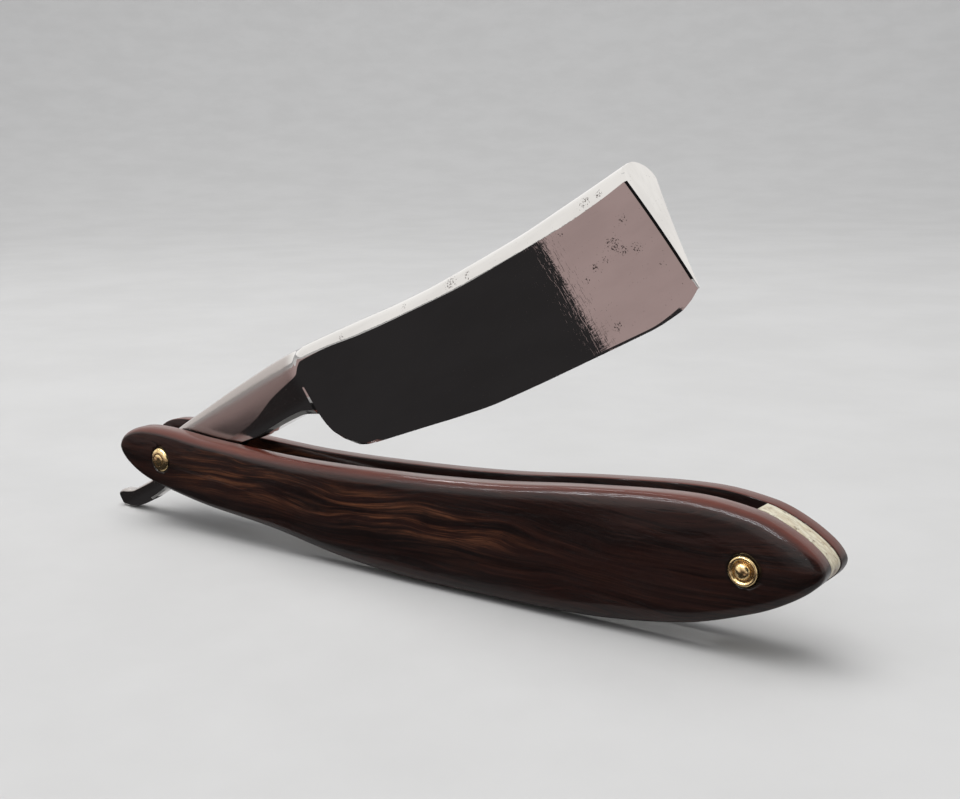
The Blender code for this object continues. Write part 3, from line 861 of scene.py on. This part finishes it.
def rosewood(name, side, shift):
    """Dark oiled rosewood: flowing growth bands, brown figure, open pores and a soft gloss."""
    s = Shading(name, turn_z=scale_turn(side))
    warp = s.noise(s.stretched((0.028, 0.05, 0.08), (shift, 0.0, 0.0)), detail=2.0)
    bent = s.vector("ADD", s.place, s.combine(0.0, 0.0, s.math("MULTIPLY", warp, 11.0)))
    bands = s.noise(s.stretched((0.016, 0.2, 0.42), (shift, 0.0, 0.0), vector=bent), 1.0, 5.0, 0.6)
    fibres = s.noise(s.stretched((0.07, 1.2, 3.0), (0.0, shift, 0.0), vector=bent), 1.0, 5.0, 0.62)
    figure = s.noise(s.stretched((0.055, 0.5, 0.8), (0.0, 0.0, shift), vector=bent), 1.0, 5.0, 0.66)
    pores = s.noise(s.stretched((0.3, 3.0, 6.0), (shift, 3.0, 0.0), vector=bent), 1.0, 2.0, 0.5)
    colour = s.mix(s.fade(bands, 0.38, 0.62), *WOOD_BANDS)
    colour = s.mix(s.math("MULTIPLY", s.fade(fibres, 0.48, 0.7), 0.4), colour, WOOD_THREAD)
    patch = 0.0
    for (along, up), (x, z), inner, outer in FIGURE_PATCHES:
        gap = s.vector("DISTANCE", s.stretched((along, 0.0, up)), (x, 0.0, z))
        patch = s.math("MAXIMUM", patch, s.fade(gap, inner, outer, 1.0, 0.0))
    light = s.math("MULTIPLY", s.fade(figure, 0.42, 0.66), s.fade(bands, 0.36, 0.56, 0.25, 1.0))
    light = s.math("MULTIPLY", light, s.math("ADD", s.math("MULTIPLY", patch, 0.95), 0.06), clamp=True)
    colour = s.mix(light, colour, s.mix(s.fade(fibres, 0.38, 0.6), *WOOD_FIGURE))
    dark = s.fade(pores, 0.6, 0.7)
    colour = s.mix(s.math("MULTIPLY", dark, 0.75), colour, WOOD_PORE)
    # Painted light: faces that turn upwards are painted lighter and redder, as if lit from above
    painted_top_light = s.math("MULTIPLY", s.fade(s.axis(2, s.facing), 0.25, 0.9), 0.6)
    colour = s.mix(painted_top_light, colour, s.mix(bands, *WOOD_PAINTED_TOP_LIGHT))
    # Grime and painted shade: the wood is darkened in a ring round each collar
    for x, reach in ((0.0, PIVOT_COLLAR_RADIUS), (PIN_SPACING, WEDGE_COLLAR_RADIUS)):
        gap = s.vector("DISTANCE", s.stretched((1.0, 0.0, 1.0)), (x, 0.0, 0.0))
        colour = s.mix(s.fade(gap, reach + 0.1, reach + 0.8, 0.85, 0.0), colour, WOOD_GRIME_AND_SHADE)
    rough = s.fade(s.noise(s.stretched((0.08, 0.3, 0.3)), 1.0, 4.0), 0.3, 0.7, 0.34, 0.46)
    wear = s.noise(s.stretched((0.16, 0.5, 0.6), (0.0, shift, 0.0)), 1.0, 3.0)
    relief = s.bump(wear, 0.07)
    relief = s.bump(s.math("SUBTRACT", s.math("MULTIPLY", fibres, 0.5), dark), 0.006, under=relief)
    return s.finish(
        Base_Color=colour, Roughness=rough, Normal=relief, Coat_Weight=0.4, Coat_Roughness=0.12,
        Coat_Normal=relief, Specular_IOR_Level=0.12,
    )


def aged_ivory(name):
    """Cream spacer with faint layers, grey pits and brown stains where it meets the wood."""
    s = Shading(name)
    layers = s.noise(s.stretched((0.35, 2.2, 0.9)), 1.0, 4.0, 0.6)
    cloud = s.noise(s.stretched((0.25, 0.6, 0.35)), 1.0, 3.0, 0.6)
    colour = s.mix(s.fade(layers, 0.35, 0.65), *IVORY_LAYERS)
    colour = s.mix(s.math("MULTIPLY", s.fade(cloud, 0.48, 0.68), 0.6), colour, IVORY_CLOUD)
    mottle = s.noise(s.stretched((1.0, 1.0, 1.0)), 0.9, 5.0, 0.7)
    colour = s.mix(s.math("MULTIPLY", s.fade(mottle, 0.5, 0.64), 0.55), colour, IVORY_MOTTLE)
    speck = s.fade(s.math("ADD", mottle, s.math("MULTIPLY", cloud, 0.25)), 0.73, 0.78)
    colour = s.mix(s.math("MULTIPLY", speck, 0.8), colour, IVORY_SPECK)
    edges = s.fade(s.math("ABSOLUTE", s.axis(1)), 1.45, 1.85)
    colour = s.mix(s.math("MULTIPLY", edges, s.fade(mottle, 0.42, 0.56)), colour, IVORY_EDGE)
    stain = s.fade(s.vector("DISTANCE", s.place, STAIN_PLACE), 0.6, 2.0, 0.8, 0.0)
    colour = s.mix(stain, colour, IVORY_STAIN)
    relief = s.bump(s.math("SUBTRACT", layers, speck), 0.05)
    return s.finish(
        Base_Color=colour, Roughness=s.fade(cloud, 0.3, 0.7, 0.32, 0.5), Normal=relief,
        Subsurface_Weight=0.15, Subsurface_Radius=(1.0, 0.8, 0.5), Subsurface_Scale=0.0008,
        Coat_Weight=0.15, Coat_Roughness=0.2,
    )


def brass(name):
    """Pale polished brass with hammered, lightly tarnished and scratched surfaces."""
    s = Shading(name)
    cloud = s.noise(s.stretched((0.9, 0.9, 0.9)), 1.0, 4.0, 0.6)
    hammered = s.noise(s.stretched((1.1, 1.1, 1.1)), 1.0, 1.0)
    scratches = s.noise(s.stretched((0.9, 6.0, 11.0), turn=0.5), 1.0, 3.0, 0.7)
    colour = s.mix(s.fade(cloud, 0.4, 0.75), *BRASS_TONES)
    colour = s.mix(s.math("MULTIPLY", s.fade(scratches, 0.62, 0.75), 0.4), colour, BRASS_SCRATCH)
    relief = s.bump(hammered, 0.06)
    relief = s.bump(scratches, 0.012, under=relief)
    rough = s.fade(cloud, 0.35, 0.75, 0.16, 0.34)
    return s.finish(Base_Color=colour, Metallic=1.0, Roughness=rough, Normal=relief)


def mirror_steel(name):
    """Old mirror-polished steel, duller on the shank: hairlines, haze and clustered rust pits."""
    s = Shading(name, turn_y=-math.radians(BLADE_ANGLE))
    flat = s.stretched((1.0, 0.0, 1.0))
    clusters = 0.0
    for (u, v), radius in PIT_CLUSTERS:
        gap = s.vector("DISTANCE", flat, (u, 0.0, v))
        clusters = s.math("MAXIMUM", clusters, s.fade(gap, radius * 0.15, radius, 1.0, 0.0))
    grains = s.noise(s.stretched((1.0, 1.0, 1.0)), 3.4, 3.0, 0.62)
    pits = s.fade(s.math("ADD", grains, s.math("MULTIPLY", clusters, 0.16)), 0.69, 0.73)
    haze = s.noise(s.stretched((0.05, 0.3, 0.11)), 1.0, 4.0, 0.6)
    shank = s.fade(s.axis(0), HEEL - 3.0, HEEL + 1.0, 1.0, 0.0)
    shank = s.math("MULTIPLY", shank, s.fade(s.axis(2), -3.8, -2.4))
    colour = s.mix(s.fade(haze, 0.35, 0.7), *STEEL_TONES)
    colour = s.mix(shank, colour, STEEL_SHANK)
    colour = s.mix(s.math("MULTIPLY", pits, 0.9), colour, STEEL_PIT)
    rough = s.math("ADD", s.fade(haze, 0.3, 0.75, 0.012, 0.03), s.math("MULTIPLY", pits, 0.4), clamp=True)
    rough = s.math("ADD", rough, s.math("MULTIPLY", shank, 0.16), clamp=True)
    relief = s.bump(s.noise(s.stretched((0.05, 0.3, 0.09)), 1.0, 1.0), 0.01)
    for scale, turn in STROKES:
        strokes = s.noise(s.stretched(scale, turn=turn), 1.0, 2.0, 0.6)
        relief = s.bump(s.fade(strokes, 0.5, 0.7), 0.0012, under=relief)
    return s.finish(Base_Color=colour, Metallic=1.0, Roughness=rough, Normal=relief)


# Stage


def floor_bowl(height):
    """A round pale floor that curves up into a low wall all round."""
    s = Shading("stage_paper")
    fibre = s.noise(s.stretched((0.02, 0.02, 0.02)), 1.0, 5.0, 0.6)
    colour = s.mix(s.fade(fibre, 0.3, 0.7), *PAPER_TONES)
    paper = s.finish(Base_Color=colour, Roughness=0.9, Specular_IOR_Level=0.1)
    profile = [(radius, 0.0) for radius in FLOOR_RADII]
    for k in range(1, FLOOR_RINGS + 1):
        angle = math.pi / 2 * k / FLOOR_RINGS
        radius = FLOOR_RADII[-1] + FLOOR_CURVE * math.sin(angle)
        profile.append((radius, FLOOR_CURVE * (1 - math.cos(angle))))
    bm = bmesh.new()
    angles = [2 * math.pi * k / FLOOR_SIDES for k in range(FLOOR_SIDES)]
    rows = skin(bm, [[(r * math.cos(a), r * math.sin(a), z) for a in angles] for r, z in profile])
    bm.faces.new(rows[0])
    for face in bm.faces:
        face.smooth = True
    bmesh.ops.recalc_face_normals(bm, faces=bm.faces)
    mesh = bpy.data.meshes.new("stage_floor")
    bm.to_mesh(mesh)
    bm.free()
    floor = bpy.data.objects.new("stage_floor", mesh)
    floor.data.materials.append(paper)
    floor.location.z = height
    bpy.context.scene.collection.objects.link(floor)


def glow_mesh(name, points, faces, colour, strength):
    """A card with an even glow that shows only in reflections."""
    finish = bpy.data.materials.new(name)
    finish.use_nodes = True
    tree = finish.node_tree
    tree.nodes.clear()
    glow = tree.nodes.new("ShaderNodeEmission")
    glow.inputs["Color"].default_value = (*colour, 1.0)
    glow.inputs["Strength"].default_value = strength
    out = tree.nodes.new("ShaderNodeOutputMaterial")
    tree.links.new(glow.outputs[0], out.inputs["Surface"])
    mesh = bpy.data.meshes.new(name)
    mesh.from_pydata(points, [], faces)
    made = bpy.data.objects.new(name, mesh)
    made.data.materials.append(finish)
    made.visible_camera = False
    made.visible_diffuse = False
    made.visible_shadow = False
    made.visible_transmission = False
    bpy.context.scene.collection.objects.link(made)


def area_light(name, place, target, size, power):
    """A soft light that doesn't show in reflections, where the cards stand in for it."""
    data = bpy.data.lights.new(name, "AREA")
    data.shape = "RECTANGLE"
    data.size, data.size_y = size
    data.energy = power
    made = bpy.data.objects.new(name, data)
    made.location = place
    made.rotation_euler = (Vector(target) - Vector(place)).to_track_quat("-Z", "Y").to_euler()
    made.visible_glossy = False
    bpy.context.scene.collection.objects.link(made)


def make_camera():
    """The camera at the photo's angle, from its azimuth, elevation and roll."""
    data = bpy.data.cameras.new("camera")
    data.lens = CAMERA_LENS
    data.clip_start, data.clip_end = CAMERA_CLIP
    made = bpy.data.objects.new("camera", data)
    turn = Matrix.Rotation(math.radians(CAMERA_AZIMUTH), 4, "Z")
    turn @= Matrix.Rotation(math.radians(90.0 - CAMERA_ELEVATION), 4, "X")
    turn @= Matrix.Rotation(math.radians(CAMERA_ROLL), 4, "Z")
    made.matrix_world = Matrix.Translation(CAMERA_PLACE) @ turn
    bpy.context.scene.collection.objects.link(made)
    bpy.context.scene.camera = made


def make_world():
    """An even, slightly cool studio sky."""
    world = bpy.data.worlds.new("studio")
    world.use_nodes = True
    shade = world.node_tree.nodes["Background"]
    shade.inputs["Color"].default_value = WORLD_COLOUR
    shade.inputs["Strength"].default_value = WORLD_STRENGTH
    bpy.context.scene.world = world
    bpy.context.scene.view_settings.view_transform = "Standard"


def floor_card(name, outline, height, colour):
    """A level card over the floor, from its (x, y) corners in millimetres."""
    points = [(x * MM, y * MM, height) for x, y in outline]
    glow_mesh(name, points, [range(len(points))], colour, 1.0)


def sky_card():
    """A dome of light all round the razor that shows only in reflections."""
    sides, rows = SKY_GRID
    low, high = SKY_ELEVATIONS
    points = []
    for j in range(rows + 1):
        up = math.radians(low + (high - low) * j / rows)
        for i in range(sides):
            turn = 2 * math.pi * i / sides
            flat = SKY_RADIUS * math.cos(up)
            points.append((flat * math.sin(turn), -flat * math.cos(turn), SKY_RADIUS * math.sin(up)))
    faces = []
    for j in range(rows):
        for i in range(sides):
            k = (i + 1) % sides
            faces.append((j * sides + i, j * sides + k, (j + 1) * sides + k, (j + 1) * sides + i))
    glow_mesh("stage_sky_card", points, faces, SKY_COLOUR, SKY_STRENGTH)


def facing_card(name, azimuth, elevation, size, colour, strength):
    """A flat card seen from the razor at an azimuth and an elevation, in degrees."""
    a, e = math.radians(azimuth), math.radians(elevation)
    out = Vector((math.sin(a) * math.cos(e), -math.cos(a) * math.cos(e), math.sin(e)))
    turn = out.to_track_quat("Z", "Y").to_matrix()
    w, h = size[0] / 2, size[1] / 2
    flat = ((-w, -h, 0.0), (w, -h, 0.0), (w, h, 0.0), (-w, h, 0.0))
    corners = [out * FACING_CARD_DISTANCE + turn @ Vector(p) for p in flat]
    glow_mesh(name, corners, [(0, 1, 2, 3)], colour, strength)


def make_stage(height):
    """The floor at a height, the lights, and the cards that the steel and the wood reflect."""
    make_world()
    floor_bowl(height)
    for light in AREA_LIGHTS:
        area_light(*light)
    sky_card()
    for card in FACING_CARDS:
        facing_card(*card)
    floor_card("stage_dark_card", DARK_CARD, height + DARK_CARD_LIFT, DARK_CARD_COLOUR)
    floor_card("stage_grey_card", GREY_CARD, height + GREY_CARD_LIFT, GREY_CARD_COLOUR)


def make_razor():
    """All twelve pieces and their materials."""
    steel = mirror_steel("mirror_steel")
    gold = brass("pale_brass")
    for label, side, shift in (("front", -1, 0.0), ("rear", 1, REAR_SHIFT)):
        make_scale(label, side, rosewood(f"rosewood_{label}", side, shift))
        make_pivot_collar(label, side, gold)
        make_wedge_collar(label, side, gold)
        make_washer(label, side, gold)
    make_wedge(aged_ivory("aged_ivory"))
    make_pivot_pin(gold)
    make_wedge_pin(gold)
    make_blade(steel)


make_razor()
make_camera()
make_stage(cad_box[0].z)
